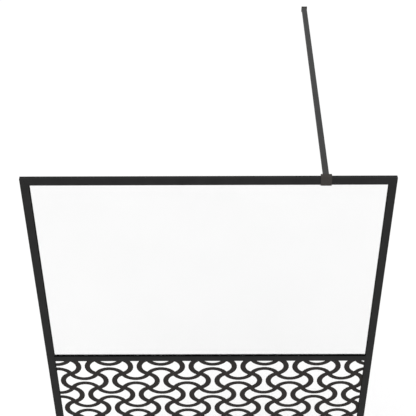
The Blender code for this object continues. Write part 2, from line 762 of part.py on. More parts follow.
def make_fret_panel():
    """The sheet is filled between its outline, which comes first, and its cells, all anticlockwise."""
    left, right, bottom, top = sheet_edges()
    loops = [[(left, bottom), (right, bottom), (right, top), (left, top)]] + fret_cells()
    points = []
    faces = []
    for loop in loops:
        faces.append([len(points) + i for i in range(len(loop))])
        points += [Vector(point) for point in loop]
    triangles_inside = 1
    filled = delaunay_2d_cdt(points, [], faces, triangles_inside, 1e-7)
    corners, triangles, sources = filled[0], filled[2], filled[5]
    mesh_data = bmesh.new()
    made = [mesh_data.verts.new((point.x, -SHEET / 2, point.y)) for point in corners]
    for triangle, source in zip(triangles, sources):
        if list(source) == [0]:
            mesh_data.faces.new([made[i] for i in triangle])
    back = bmesh.ops.extrude_face_region(mesh_data, geom=mesh_data.faces[:])["geom"]
    moved = [item for item in back if isinstance(item, bmesh.types.BMVert)]
    bmesh.ops.translate(mesh_data, vec=(0, SHEET, 0), verts=moved)
    add_object("fret_panel", mesh_data, "black_fret")


# Clamp

def grub_places():
    height = (PLATE_LOW + PLATE_HIGH) / 2
    return [(BRACE_X + side * GRUB_SPREAD / 2, height) for side in (-1, 1)]


def make_clamp():
    """A saddle over the rail, thicker below for its grub screws, with the bar's spigot behind it."""
    high = PANEL_HEIGHT + CLAMP_TOP
    low = high - CLAMP_HEIGHT
    inner = HALF_DEPTH + GAP
    front = -inner - CLAMP_FRONT
    bridge_low = PANEL_HEIGHT + GAP + LINER + GAP
    ledge_high = LEDGE_LOW + CLAMP_LEDGE
    outline = [
        (front, low), (-inner, low), (-inner, bridge_low), (inner, bridge_low), (inner, LEDGE_LOW),
        (LUG_FRONT, LEDGE_LOW), (LUG_FRONT, low), (LUG_REAR, low), (LUG_REAR, ledge_high),
        (CLAMP_REAR, ledge_high), (CLAMP_REAR, high - CLAMP_CHAMFER), (CLAMP_REAR - CLAMP_CHAMFER, high),
        (front + CLAMP_CHAMFER, high), (front, high - CLAMP_CHAMFER),
    ]

    def place(y, z):
        return (BRACE_X - CLAMP_WIDTH / 2, y, z)

    def shift(_position):
        return Vector((CLAMP_WIDTH, 0, 0))

    body = extrude_outlines("clamp_body", [outline], place, shift, "graphite_clamp")
    clear = BAR / 2 + GAP
    notch = ((BRACE_X - clear, CLAMP_REAR, BAR_Z - clear), (BRACE_X + clear, 2 * LUG_REAR, 2 * BAR_Z))
    cut(body, boxes("clamp_bar_notch", [notch]))
    spigot = ((BRACE_X - SPIGOT_HALF, CLAMP_REAR - CLAMP_BACK / 2, BAR_Z - SPIGOT_HALF),
              (BRACE_X + SPIGOT_HALF, BAR_START + SPIGOT_REACH, BAR_Z + SPIGOT_HALF))
    fuse(body, boxes("clamp_spigot", [spigot]))
    holes = []
    for x, z in grub_places():
        holes.append(((x, LUG_FRONT - WALL, z), (0, 1, 0), CLAMP_LUG + 2 * WALL, GRUB_D + 2 * GAP))
    cut(body, rods("clamp_holes", holes))


def make_clamp_inside():
    """Liner on the rail's top, and the plate that the two grub screws press on its back."""
    half = CLAMP_WIDTH / 2 - 2 * GAP
    floor = PANEL_HEIGHT + GAP
    boxes("clamp_liner", [((BRACE_X - half, -HALF_DEPTH, floor),
                           (BRACE_X + half, HALF_DEPTH, floor + LINER))], "black_rubber")
    boxes("clamp_pressure_plate", [((BRACE_X - half, PLATE_FRONT, PLATE_LOW),
                                    (BRACE_X + half, PLATE_FRONT + PLATE, PLATE_HIGH))], "zinc_steel")
    radius = GRUB_D / 2
    for side, (x, z) in zip(("left", "right"), grub_places()):
        grub = turned("clamp_grub_screw_" + side, (x, LUG_FRONT, z), (0, 1, 0),
                      [(radius, 0), (radius, CLAMP_LUG)], "zinc_steel")
        key = ((x, LUG_REAR - HEX_DEPTH, z), (0, 1, 0), 2 * HEX_DEPTH, HEX_KEY, 6)
        cut(grub, rods("grub_key_" + side, [key]))


# Brace bar and wall socket

def bar_screw_ys():
    """Where the two screws go up through the bar, into the spigot and into the socket's plug."""
    return (BAR_START + BAR_SCREW_PLACE, BRACE_REACH - SOCKET_SCREW_PLACE)


def make_bar():
    outer = BAR / 2
    inner = outer - BAR_WALL

    def square(half):
        return [(-half, -half), (half, -half), (half, half), (-half, half)]

    def place(x, z):
        return (BRACE_X + x, BAR_START, BAR_Z + z)

    def shift(_position):
        return Vector((0, BAR_END - BAR_START, 0))

    bar = extrude_outlines("brace_bar", [square(outer), square(inner)], place, shift, "black_frame")
    low = BAR_Z - outer - WALL
    holes = [((BRACE_X, y, low), (0, 0, 1), BAR_WALL + 2 * WALL, SCREW_D + 2 * GAP) for y in bar_screw_ys()]
    cut(bar, rods("bar_screw_holes", holes))


def make_brace_screws():
    """Pan-head screws that point up into the bar's lower wall."""
    seat = BAR_Z - BAR / 2 - GAP
    head = (SCREW_HEAD_D, SCREW_HEAD_HEIGHT)
    for name, y in zip(("bar_lock_screw", "wall_socket_screw"), bar_screw_ys()):
        screw(name, (BRACE_X, y, seat), (0, 0, -1), head, (SCREW_D, BAR_WALL + GAP))


def make_wall_socket():
    """A flange round the bar's end, with a plug inside the bar and a hole for the wall screw."""
    half = SOCKET / 2
    front = BRACE_REACH - SOCKET_DEPTH
    floor = BRACE_REACH - SOCKET_BACK
    socket = boxes("wall_socket", [((BRACE_X - half, front, BAR_Z - half),
                                    (BRACE_X + half, BRACE_REACH, BAR_Z + half))], "graphite_clamp")
    pocket = BAR / 2 + GAP
    cut(socket, boxes("socket_pocket", [((BRACE_X - pocket, front - WALL, BAR_Z - pocket),
                                         (BRACE_X + pocket, floor, BAR_Z + pocket))]))
    plug = ((BRACE_X - SPIGOT_HALF, BRACE_REACH - PLUG_REACH, BAR_Z - SPIGOT_HALF),
            (BRACE_X + SPIGOT_HALF, floor + SOCKET_BACK / 2, BAR_Z + SPIGOT_HALF))
    fuse(socket, boxes("socket_plug", [plug]))
    start = (BRACE_X, BRACE_REACH - PLUG_REACH - WALL, BAR_Z)
    cut(socket, rods("socket_hole", [(start, (0, 1, 0), PLUG_REACH + 2 * WALL, SOCKET_HOLE_D)]))


# Bodies that move together

BODIES = {
    "frame_on_channel": ((FRAME_LEFT, 0, PANEL_HEIGHT / 2), (
        "left_stile", "right_stile", "top_rail", "bottom_rail", "mid_rail", "mid_rail_", "corner_",
        "channel_lock_", "lock_screw_cap_", "glass_", "fret_", "key_pilots_", "lock_nut_hole_")),
    "clamp_on_rail": ((BRACE_X, 0, PANEL_HEIGHT), ("clamp_", "grub_key_")),
    "bar_on_spigot": ((BRACE_X, BAR_START, BAR_Z), ("brace_bar", "bar_", "wall_socket", "socket_")),
}


def carry_bodies():
    """Parent each moving body's pieces, and their cutters, to an empty on its slide's axis."""
    pieces = [item for item in bpy.data.objects if item.type == "MESH"]
    for name, (place, prefixes) in BODIES.items():
        home = bpy.data.objects.new(name, None)
        home.location = place
        bpy.context.scene.collection.objects.link(home)
        for item in pieces:
            if item.name.startswith(prefixes):
                item.parent = home
                item.matrix_parent_inverse = home.matrix_basis.inverted()


def main():
    clear_scene()
    make_wall_channel()
    make_frame()
    make_mid_rail()
    make_mid_rail_fixings()
    make_corner_keys()
    make_corner_screws()
    make_lock_fixings()
    make_glass()
    make_seals("glass_seal", pane_edges(), GLASS, GLASS_BITE, True)
    make_fret_panel()
    make_seals("fret_seal", sheet_edges(), SHEET, SHEET_BITE, False)
    make_setting_blocks()
    make_clamp()
    make_clamp_inside()
    make_bar()
    make_brace_screws()
    make_wall_socket()
    carry_bodies()


main()
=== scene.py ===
"""Walk-in shower screen in black coated aluminium, with a glazed pane over a fretwork sheet.

X runs along the panel, Y from its front towards the braced wall, and Z is up. Lengths are in metres.
"""
import logging
import math
from collections.abc import Callable, Iterator
from contextlib import contextmanager
from dataclasses import dataclass, field
from enum import Enum

import bmesh
import bpy
from mathutils import Matrix, Vector
from mathutils.geometry import delaunay_2d_cdt


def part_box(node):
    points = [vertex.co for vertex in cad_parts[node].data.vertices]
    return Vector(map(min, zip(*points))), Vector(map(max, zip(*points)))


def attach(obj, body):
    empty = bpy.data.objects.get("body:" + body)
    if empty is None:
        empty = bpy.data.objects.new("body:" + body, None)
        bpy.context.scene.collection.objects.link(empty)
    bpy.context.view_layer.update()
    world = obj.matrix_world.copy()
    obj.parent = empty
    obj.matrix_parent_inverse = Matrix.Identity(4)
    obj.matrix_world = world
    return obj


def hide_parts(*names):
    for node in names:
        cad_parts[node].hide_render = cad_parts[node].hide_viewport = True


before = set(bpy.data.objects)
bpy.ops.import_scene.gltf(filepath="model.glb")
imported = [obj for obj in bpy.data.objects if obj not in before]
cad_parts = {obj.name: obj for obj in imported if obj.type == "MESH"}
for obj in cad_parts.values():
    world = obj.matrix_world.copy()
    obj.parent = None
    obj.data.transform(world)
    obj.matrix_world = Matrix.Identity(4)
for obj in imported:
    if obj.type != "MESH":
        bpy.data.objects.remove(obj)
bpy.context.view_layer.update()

LOG = logging.getLogger("shower_screen")
MM = 0.001
X, Y, Z = range(3)
SAME = 1e-6                      # places closer than this are the same
NEARLY = 0.9                     # how much of a direction lies along an axis that it follows
HEXAGON = 6                      # sides
HALF_CELL = 0.5                  # the fretwork's openings are drawn in cells
SMOOTH_ANGLE = math.radians(32)
COLOUR_A, COLOUR_B, COLOUR_MIXED = 6, 7, 2       # the mix node's colour sockets
GRAIN_MIDDLE = {"From Min": 0.3, "From Max": 0.7}        # most of a noise's strengths lie in here
BUMP_STRENGTH = 0.5
WITHIN_OUTLINES = 1              # the fill's own code for triangles inside the outlines alone

Point = tuple[float, float, float]
Flat = tuple[float, float]
Outline = list[Flat]
Inputs = dict[str, object]
Rule = Callable[[Vector, Vector], bool]


class Body(Enum):
    """The bodies that the pieces ride on."""

    CHANNEL = "channel"
    PANEL = "panel"
    CLAMP = "clamp"
    BRACE = "brace"


class Slot(Enum):
    """The part's material slots."""

    FRAME = "frame_coat"
    FRET = "fret_coat"
    BAR = "bar_coat"
    CLAMP = "clamp_coat"
    GLASS = "clear_glass"
    RUBBER = "seal_rubber"
    ZINC = "zinc_steel"
    MILL = "mill_aluminium"
    CAP = "cap_plastic"


class EndCut(Enum):
    """How a frame member's ends are sawn."""

    SQUARE = "square"
    MITRE = "mitre"


# Colour and node helpers

def linear(colour: str) -> tuple[float, float, float, float]:
    """Turn an sRGB hex colour into linear light.

    Args:
        colour: six hex digits after a hash sign.

    Returns:
        Red, green, blue and a full alpha.
    """
    channels = [int(colour[i:i + 2], 16) / 255 for i in (1, 3, 5)]
    light = [c / 12.92 if c <= 0.04045 else ((c + 0.055) / 1.055) ** 2.4 for c in channels]
    return light[0], light[1], light[2], 1.0


def add_node(tree: bpy.types.NodeTree, kind: str, settings: Inputs | None = None,
             inputs: Inputs | None = None) -> bpy.types.Node:
    """Add one node, with its settings, values and links.

    Args:
        tree: where the node goes.
        kind: the node's type.
        settings: values of the node's own properties.
        inputs: a value or another node's output socket for each named or numbered input.

    Returns:
        The new node.
    """
    node = tree.nodes.new(kind)
    for name, value in (settings or {}).items():
        setattr(node, name, value)
    for name, value in (inputs or {}).items():
        if isinstance(value, bpy.types.NodeSocket):
            tree.links.new(value, node.inputs[name])
        else:
            node.inputs[name].default_value = value
    return node


def start_material(name: str) -> tuple[bpy.types.Material, bpy.types.Node, bpy.types.NodeSocket]:
    """Start a node material.

    Args:
        name: the finish in plain words.

    Returns:
        The material, its shader node, and the piece's own coordinates in metres.
    """
    material = bpy.data.materials.new(name)
    material.use_nodes = True
    shader = material.node_tree.nodes["Principled BSDF"]
    coordinates = add_node(material.node_tree, "ShaderNodeTexCoord").outputs["Object"]
    return material, shader, coordinates


def blend_tones(grain: bpy.types.NodeSocket, dark: str, light: str) -> bpy.types.NodeSocket:
    """Blend two close tones by the middle of a grain's range.

    Args:
        grain: from 0 to 1.
        dark: sRGB hex colour at its low end.
        light: sRGB hex colour at its high end.

    Returns:
        The blended colour.
    """
    tree = grain.id_data
    share = add_node(tree, "ShaderNodeMapRange", None, {"Value": grain, **GRAIN_MIDDLE})
    blend = add_node(tree, "ShaderNodeMix", {"data_type": "RGBA"}, {
        "Factor": share.outputs["Result"], COLOUR_A: linear(dark), COLOUR_B: linear(light)})
    return blend.outputs[COLOUR_MIXED]


# Finishes

@dataclass(frozen=True)
class Finish:
    """What the part's opaque finishes share: two close tones, a range of roughness and a relief."""

    name: str
    dark: str
    light: str
    rough: Flat

    def lay(self, shader: bpy.types.Node, tone: bpy.types.NodeSocket, relief: bpy.types.NodeSocket,
            height: float, strength: float = BUMP_STRENGTH) -> None:
        """Let one grain drive the colour, and another the roughness and the bump.

        Args:
            shader: the material's shader node.
            tone: the colour's grain, from 0 to 1.
            relief: the surface's grain, from 0 to 1.
            height: how far the relief stands up.
            strength: how much of the relief's tilt is felt.
        """
        tree = shader.id_data
        rough = add_node(tree, "ShaderNodeMapRange", None, {
            "Value": relief, "To Min": self.rough[0], "To Max": self.rough[1], **GRAIN_MIDDLE})
        bump = add_node(tree, "ShaderNodeBump", None, {
            "Height": relief, "Strength": strength, "Distance": height})
        tree.links.new(blend_tones(tone, self.dark, self.light), shader.inputs["Base Color"])
        tree.links.new(rough.outputs["Result"], shader.inputs["Roughness"])
        tree.links.new(bump.outputs["Normal"], shader.inputs["Normal"])


@dataclass(frozen=True)
class CoatedMetal(Finish):
    """Polyester powder coat, sprayed dry and baked: a dark even skin with a faint orange peel."""

    rough: Flat = (0.6, 0.7)
    gloss: float = 0.08              # a matt coat mirrors far less than a glossy one
    peel: float = 1.6 * MM           # real peel, width of one dimple
    peel_height: float = 0.03 * MM
    drift: float = 45 * MM           # slow change of the coat's thickness, and so of its tone

    def make(self) -> bpy.types.Material:
        """Build the material.

        Returns:
            The finished material.
        """
        material, shader, place = start_material(self.name)
        tree = material.node_tree
        drift = add_node(tree, "ShaderNodeTexNoise", None, {"Vector": place, "Scale": 1 / self.drift})
        dimples = add_node(tree, "ShaderNodeTexNoise", None, {
            "Vector": place, "Scale": 1 / self.peel, "Detail": 1.0})
        self.lay(shader, drift.outputs["Fac"], dimples.outputs["Fac"], self.peel_height)
        shader.inputs["Specular IOR Level"].default_value = self.gloss
        return material


@dataclass(frozen=True)
class BareMetal(Finish):
    """Bare or plated metal with fine lines left by the die or the lathe."""

    stretch: Point                   # how many times finer the lines run along each axis
    line: float = 0.9 * MM           # drawn coarser than real die lines, which are finer than a hair
    line_height: float = 0.01 * MM
    line_strength: float = 0.4

    def make(self) -> bpy.types.Material:
        """Build the material.

        Returns:
            The finished material.
        """
        material, shader, place = start_material(self.name)
        tree = material.node_tree
        drawn = add_node(tree, "ShaderNodeMapping", None, {"Vector": place, "Scale": self.stretch})
        lines = add_node(tree, "ShaderNodeTexNoise", None, {
            "Vector": drawn.outputs["Vector"], "Scale": 1 / self.line, "Detail": 3.0}).outputs["Fac"]
        self.lay(shader, lines, lines, self.line_height, self.line_strength)
        shader.inputs["Metallic"].default_value = 1.0
        return material


@dataclass(frozen=True)
class MouldedPolymer(Finish):
    """Extruded rubber or moulded plastic: dull, slightly grained, with no metal in its shine."""

    grain: float
    grain_height: float = 0.02 * MM
    gloss: float = 0.3

    def make(self) -> bpy.types.Material:
        """Build the material.

        Returns:
            The finished material.
        """
        material, shader, place = start_material(self.name)
        grain = add_node(material.node_tree, "ShaderNodeTexNoise", None, {
            "Vector": place, "Scale": 1 / self.grain}).outputs["Fac"]
        self.lay(shader, grain, grain, self.grain_height)
        shader.inputs["Specular IOR Level"].default_value = self.gloss
        return material


@dataclass(frozen=True)
class ToughenedGlass:
    """Clear toughened float glass: a faint grey cast and a mirror-smooth face with a thin film on it."""

    name: str = "clear_toughened_float_glass"
    tint: str = "#f6f6f6"
    ior: float = 1.5
    rough: Flat = (0.0, 0.012)
    film: float = 30 * MM            # patches left by wiping

    def make(self) -> bpy.types.Material:
        """Build the material.

        Returns:
            The finished material.
        """
        material, shader, place = start_material(self.name)
        tree = material.node_tree
        film = add_node(tree, "ShaderNodeTexNoise", None, {"Vector": place, "Scale": 1 / self.film})
        rough = add_node(tree, "ShaderNodeMapRange", None, {
            "Value": film.outputs["Fac"], "To Min": self.rough[0], "To Max": self.rough[1],
            **GRAIN_MIDDLE})
        tree.links.new(rough.outputs["Result"], shader.inputs["Roughness"])
        shader.inputs["Base Color"].default_value = linear(self.tint)
        shader.inputs["IOR"].default_value = self.ior
        shader.inputs["Transmission Weight"].default_value = 1.0
        return material


class Finishes:
    """One built material for each of the part's material slots."""

    def __init__(self) -> None:
        """Build them all."""
        kinds = {
            # Matt black powder coat on drawn aluminium: nearly even, no colour in it.
            Slot.FRAME: CoatedMetal("matt_black_powder_coated_aluminium", "#222222", "#262626"),
            # The same coat on laser-cut sheet: a touch lighter and warmer.
            Slot.FRET: CoatedMetal("warm_black_powder_coated_sheet", "#292625", "#2d2a28"),
            # Coat on the tube: dull, with a base colour lighter than the frame as painted sheen, standing
            # in for the grazing reflection along the tube's top; its own gloss is turned down to match.
            Slot.BAR: CoatedMetal("matt_tube_coat_with_painted_sheen", "#3c3c3c", "#404040", gloss=0.04),
            # The clamp and socket are cast and painted: a warmer grey.
            Slot.CLAMP: CoatedMetal("matt_graphite_painted_casting", "#383533", "#3c3937"),
            Slot.GLASS: ToughenedGlass(),
            # EPDM glazing rubber: the blackest and dullest thing on the screen.
            Slot.RUBBER: MouldedPolymer("extruded_epdm_glazing_rubber", "#020202", "#050505",
                                        (0.7, 0.85), 2 * MM, gloss=0.06),
            # Bright zinc plate: cool, slightly uneven shine.
            Slot.ZINC: BareMetal("bright_zinc_plated_steel", "#9a9da0", "#b4b6b8", (0.25, 0.38),
                                 (1, 1, 1)),
            # Mill-finish aluminium: pale, with die lines along the extrusion.
            Slot.MILL: BareMetal("mill_finish_drawn_aluminium", "#b9babb", "#c9cacb", (0.3, 0.45),
                                 (0.05, 1, 1)),
            # Nylon caps: black, finely spark-eroded.
            Slot.CAP: MouldedPolymer("moulded_black_nylon", "#141414", "#191919", (0.45, 0.55),
                                     0.9 * MM),
        }
        self.built = {slot: kind.make() for slot, kind in kinds.items()}

    def dress(self, piece: bpy.types.Object, slot: Slot, body: Body, *nodes: str) -> None:
        """Give a finished piece its material and its body, and hide the CAD nodes it stands for.

        Args:
            piece: the finished piece.
            slot: the part's slot that its material fills.
            body: what it rides on.
            nodes: the CAD nodes that it stands for.
        """
        piece.data.materials.clear()
        piece.data.materials.append(self.built[slot])
        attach(piece, body.value)
        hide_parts(*nodes)

    def dress_node(self, item: bpy.types.Object, slot: Slot) -> None:
        """Give a CAD node its better material."""
        for place in item.material_slots:
            place.material = self.built[slot]


# Modelling helpers

def only(piece: bpy.types.Object) -> None:
    """Select one piece alone and make it active.

    Args:
        piece: the piece.
    """
    bpy.ops.object.select_all(action="DESELECT")
    piece.select_set(True)
    bpy.context.view_layer.objects.active = piece


@contextmanager
def editing(piece: bpy.types.Object) -> Iterator[None]:
    """Hold one piece in edit mode.

    Args:
        piece: the piece.

    Returns:
        A context that leaves edit mode at its end.
    """
    only(piece)
    bpy.ops.object.mode_set(mode="EDIT")
    yield
    bpy.ops.object.mode_set(mode="OBJECT")


def settle(piece: bpy.types.Object, name: str) -> bpy.types.Object:
    """Name a piece and move its place, turn and scale into its mesh.

    Args:
        piece: the piece.
        name: what it and its mesh are called.

    Returns:
        The same piece.
    """
    only(piece)
    bpy.ops.object.transform_apply(location=True, rotation=True, scale=True)
    piece.name = name
    piece.data.name = name
    return piece


def add_block(name: str, low: Point, high: Point) -> bpy.types.Object:
    """Add a box between two corners.

    Args:
        name: the piece's name.
        low: its lowest corner.
        high: its highest corner.

    Returns:
        The box.
    """
    low_corner, high_corner = Vector(low), Vector(high)
    bpy.ops.mesh.primitive_cube_add(size=1, location=(low_corner + high_corner) / 2)
    piece = bpy.context.object
    piece.scale = high_corner - low_corner
    return settle(piece, name)


def add_rod(name: str, start: Point, axis: Point, length: float, diameter: float, sides: int = 32
            ) -> bpy.types.Object:
    """Add a round or many-sided rod.

    Args:
        name: the piece's name.
        start: the middle of its near end.
        axis: the way it runs.
        length: how far it runs.
        diameter: across its corners.
        sides: how many sides it has.

    Returns:
        The rod.
    """
    way = Vector(axis).normalized()
    bpy.ops.mesh.primitive_cylinder_add(vertices=sides, radius=diameter / 2, depth=length,
                                        location=Vector(start) + way * length / 2,
                                        rotation=way.to_track_quat("Z", "Y").to_euler())
    return settle(bpy.context.object, name)


def pick_faces(piece: bpy.types.Object, wanted: Rule) -> None:
    """Select faces in edit mode.

    Args:
        piece: what they are on.
        wanted: whether a face is picked, from its middle and its normal.
    """
    bpy.ops.mesh.select_mode(type="FACE")
    bpy.ops.mesh.select_all(action="DESELECT")
    mesh = bmesh.from_edit_mesh(piece.data)
    for face in mesh.faces:
        face.select_set(wanted(face.calc_center_median(), face.normal))
    bmesh.update_edit_mesh(piece.data)


def pick_edges(piece: bpy.types.Object, wanted: Rule) -> None:
    """Select edges in edit mode.

    Args:
        piece: what they are on.
        wanted: whether an edge is picked, from its middle and its direction.
    """
    bpy.ops.mesh.select_mode(type="EDGE")
    bpy.ops.mesh.select_all(action="DESELECT")
    mesh = bmesh.from_edit_mesh(piece.data)
    for edge in mesh.edges:
        first, second = (corner.co for corner in edge.verts)
        edge.select_set(wanted((first + second) / 2, (second - first).normalized()))
    bmesh.update_edit_mesh(piece.data)


def is_along(way: Vector, axis: int) -> bool:
    """Whether a direction runs nearly along an axis."""
    return abs(way[axis]) > NEARLY


def round_edges(piece: bpy.types.Object, radius: float, segments: int, wanted: Rule) -> None:
    """Round the edges that meet a rule, in edit mode."""
    pick_edges(piece, wanted)
    bpy.ops.mesh.bevel(offset=radius, offset_type="OFFSET", segments=segments, affect="EDGES")


def saw(piece: bpy.types.Object, place: Point, normal: Point, keep_front: bool) -> None:
    """Saw a piece by a plane in edit mode, or only score it round.

    Args:
        piece: what is sawn; not used, as the cut works on the mesh in edit mode.
        place: a point on the plane.
        normal: the plane's normal, towards the part that stays.
        keep_front: whether the other part is thrown away and the cut closed; if not, it is scored.
    """
    bpy.ops.mesh.select_all(action="SELECT")
    bpy.ops.mesh.bisect(plane_co=place, plane_no=normal, use_fill=keep_front, clear_inner=keep_front)


def join(pieces: list[bpy.types.Object]) -> bpy.types.Object:
    """Join several objects into one.

    Args:
        pieces: the objects.

    Returns:
        The first of them, which now holds them all.
    """
    bpy.ops.object.select_all(action="DESELECT")
    for piece in pieces:
        piece.select_set(True)
    bpy.context.view_layer.objects.active = pieces[0]
    bpy.ops.object.join()
    return pieces[0]


def combine(piece: bpy.types.Object, other: bpy.types.Object, operation: str) -> None:
    """Combine a piece with another solid, and throw that other one away.

    Args:
        piece: what is kept.
        other: the solid that goes into it or out of it.
        operation: the Boolean modifier's name for how.
    """
    only(piece)
    bpy.ops.object.modifier_add(type="BOOLEAN")
    modifier = piece.modifiers[-1]
    modifier.operation = operation
    modifier.solver = "EXACT"
    modifier.object = other
    bpy.ops.object.modifier_apply(modifier=modifier.name)
    bpy.data.objects.remove(other, do_unlink=True)


def cut(piece: bpy.types.Object, cutters: list[bpy.types.Object]) -> None:
    """Take the cutters' space out of a piece."""
    combine(piece, join(cutters), "DIFFERENCE")


def fuse(piece: bpy.types.Object, other: bpy.types.Object) -> None:
    """Make one solid of a piece and another."""
    combine(piece, other, "UNION")


def finish_mesh(piece: bpy.types.Object) -> bpy.types.Object:
    """Merge doubles, point the faces outwards and shade the curved ones smooth.

    Args:
        piece: a closed piece.

    Returns:
        The same piece.
    """
    with editing(piece):
        bpy.ops.mesh.select_all(action="SELECT")
        bpy.ops.mesh.remove_doubles(threshold=SAME)
        bpy.ops.mesh.normals_make_consistent(inside=False)
    only(piece)
    bpy.ops.object.shade_smooth_by_angle(angle=SMOOTH_ANGLE)
    return piece


# Frame

@dataclass
class Extrusion:
    """A drawn aluminium member that runs along X, with its face at Z and its depth along Y."""

    name: str
    length: float
    face: float
    depth: float
    wall: float
    inner_pocket: float                          # takes the pane
    outer_pocket: float = 0.0                    # takes the wall channel, or the sheet
    chamber: Flat | None = None                  # closed hollow, from and to
    ends: EndCut = EndCut.MITRE
    set_back: float = 0.0                        # each end short of its joint
    edge_radius: float = 0.3 * MM
    lip_radius: float = 0.2 * MM

    def __post_init__(self) -> None:
        """Work out the pockets' half width, and the stock that is left past each end for the saw."""
        self.pocket_half = self.depth / 2 - self.wall
        self.spare = 3 * self.face

    def build(self) -> bpy.types.Object:
        """Model the member from a bar: pockets, rounded edges, sawn ends, then its hollow.

        Returns:
            The member, with its near end at the origin.
        """
        piece = add_block(self.name, (-self.spare, -self.depth / 2, 0),
                          (self.length + self.spare, self.depth / 2, self.face))
        with editing(piece):
            for side in (-1, 1):
                saw(piece, (0, side * self.pocket_half, 0), (0, 1, 0), False)
            self.press_pocket(piece, self.face, -self.inner_pocket)
            if self.outer_pocket:
                self.press_pocket(piece, 0.0, self.outer_pocket)
            self.round_long_edges(piece)
            self.saw_ends(piece)
        if self.chamber:
            low, high = self.chamber
            hollow = add_block("hollow", (-self.spare, -self.pocket_half, low),
                               (self.length + self.spare, self.pocket_half, high))
            cut(piece, [hollow])
        return piece

    def press_pocket(self, piece: bpy.types.Object, level: float, travel: float) -> None:
        """Push the middle strip of one face inwards.

        Args:
            piece: the bar.
            level: the face's height.
            travel: how far the strip goes, upwards.
        """
        pick_faces(piece, lambda middle, normal: abs(middle.z - level) < SAME
                   and is_along(normal, Z) and abs(middle.y) < self.pocket_half)
        bpy.ops.mesh.extrude_region_move(TRANSFORM_OT_translate={"value": (0, 0, travel)})

    def round_long_edges(self, piece: bpy.types.Object) -> None:
        """Round the four outer corners, and the lips of the pockets.

        Args:
            piece: the bar, with its pockets.
        """
        def at_face(middle: Vector, way: Vector) -> bool:
            """Whether an edge runs along the member, in its outer or its inner face."""
            return is_along(way, X) and min(abs(middle.z), abs(middle.z - self.face)) < SAME

        round_edges(piece, self.edge_radius, 4, lambda middle, way: at_face(middle, way)
                    and abs(abs(middle.y) - self.depth / 2) < SAME)
        levels = [self.face] + ([0.0] if self.outer_pocket else [])
        round_edges(piece, self.lip_radius, 2, lambda middle, way: at_face(middle, way)
                    and abs(abs(middle.y) - self.pocket_half) < SAME
                    and min(abs(middle.z - level) for level in levels) < SAME)

    def saw_ends(self, piece: bpy.types.Object) -> None:
        """Saw both ends, square or at 45 degrees.

        Args:
            piece: the bar.
        """
        slope = -1 if self.ends is EndCut.MITRE else 0
        saw(piece, (self.set_back, 0, 0), (1, 0, slope), True)
        saw(piece, (self.length - self.set_back, 0, 0), (-1, 0, slope), True)


@dataclass
class PanelFrame:
    """Four mitred members round the panel, and the rail between its pane and its sheet."""

    finishes: Finishes
    wall: float = 1.5 * MM
    pocket: float = 8.5 * MM
    mid_pockets: Flat = (7 * MM, 6 * MM)         # upper and lower
    mid_web: float = 1.2 * MM
    mitre_gap: float = 0.3 * MM
    screw_hole: float = 4.0 * MM
    screw_nodes: dict[str, list[str]] = field(default_factory=lambda: {
        "top_rail": ["corner_screw_top_left_rail", "corner_screw_top_right_rail"],
        "bottom_rail": ["corner_screw_bottom_left_rail", "corner_screw_bottom_right_rail"],
        "left_stile": ["corner_screw_top_left_stile", "corner_screw_bottom_left_stile",
                       "channel_lock_screw_1", "channel_lock_screw_2", "channel_lock_screw_3"],
        "right_stile": ["corner_screw_top_right_stile", "corner_screw_bottom_right_stile"],
    })

    def build(self) -> None:
        """Build and dress every member."""
        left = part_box("left_stile")[0].x
        right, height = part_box("right_stile")[1].x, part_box("right_stile")[1].z
        self.member("bottom_rail", right - left, (left, 0, 0), 0)
        self.member("top_rail", right - left, (right, 0, height), 180)
        self.member("right_stile", height, (right, 0, 0), -90)
        self.member("left_stile", height, (left, 0, height), 90)
        self.mid_rail()

    def member(self, node: str, length: float, origin: Point, turn: float) -> None:
        """Build one mitred member, turn it into place and drill its back.

        Args:
            node: the CAD node that it stands for.
            length: from mitre point to mitre point.
            origin: where its near end goes.
            turn: degrees about Y.
        """
        low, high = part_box(node)
        upright = high.z - low.z > high.x - low.x
        face = high.x - low.x if upright else high.z - low.z
        chamber_end = face - self.pocket - self.wall
        open_back = node == "left_stile"
        piece = Extrusion(node + "_extrusion", length, face, high.y - low.y, self.wall, self.pocket,
                          chamber_end if open_back else 0.0,
                          None if open_back else (self.wall, chamber_end),
                          set_back=self.mitre_gap * math.sqrt(0.5)).build()
        piece.location = origin
        piece.rotation_euler = (0, math.radians(turn), 0)
        settle(piece, piece.name)
        drills = []
        for screw in self.screw_nodes[node]:
            start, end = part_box(screw)
            middle = (start + end) / 2
            drills.append(add_rod("drill", (middle.x, self.wall, middle.z), (0, 1, 0),
                                  high.y, self.screw_hole))
        cut(piece, drills)
        self.finishes.dress(finish_mesh(piece), Slot.FRAME, Body.PANEL, node)

    def mid_rail(self) -> None:
        """Build the rail between the pane and the sheet, open above and below."""
        low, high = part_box("mid_rail")
        face = high.z - low.z
        upper, lower = self.mid_pockets
        piece = Extrusion("mid_rail_extrusion", high.x - low.x, face, high.y - low.y, self.wall, upper,
                          lower, (lower + self.mid_web, face - upper - self.mid_web),
                          EndCut.SQUARE).build()
        piece.location = (low.x, 0, low.z)
        settle(piece, piece.name)
        self.finishes.dress(finish_mesh(piece), Slot.FRAME, Body.PANEL, "mid_rail")


# Fretwork

@dataclass(frozen=True)
class Wave:
    """A wavy line of the fretwork in cells: circular arcs that bend to and fro, one to a cell."""

    rise: float
    width: float

    @property
    def radius(self) -> float:
        """Radius of the line's middle."""
        return (HALF_CELL ** 2 + self.rise ** 2) / (2 * self.rise)


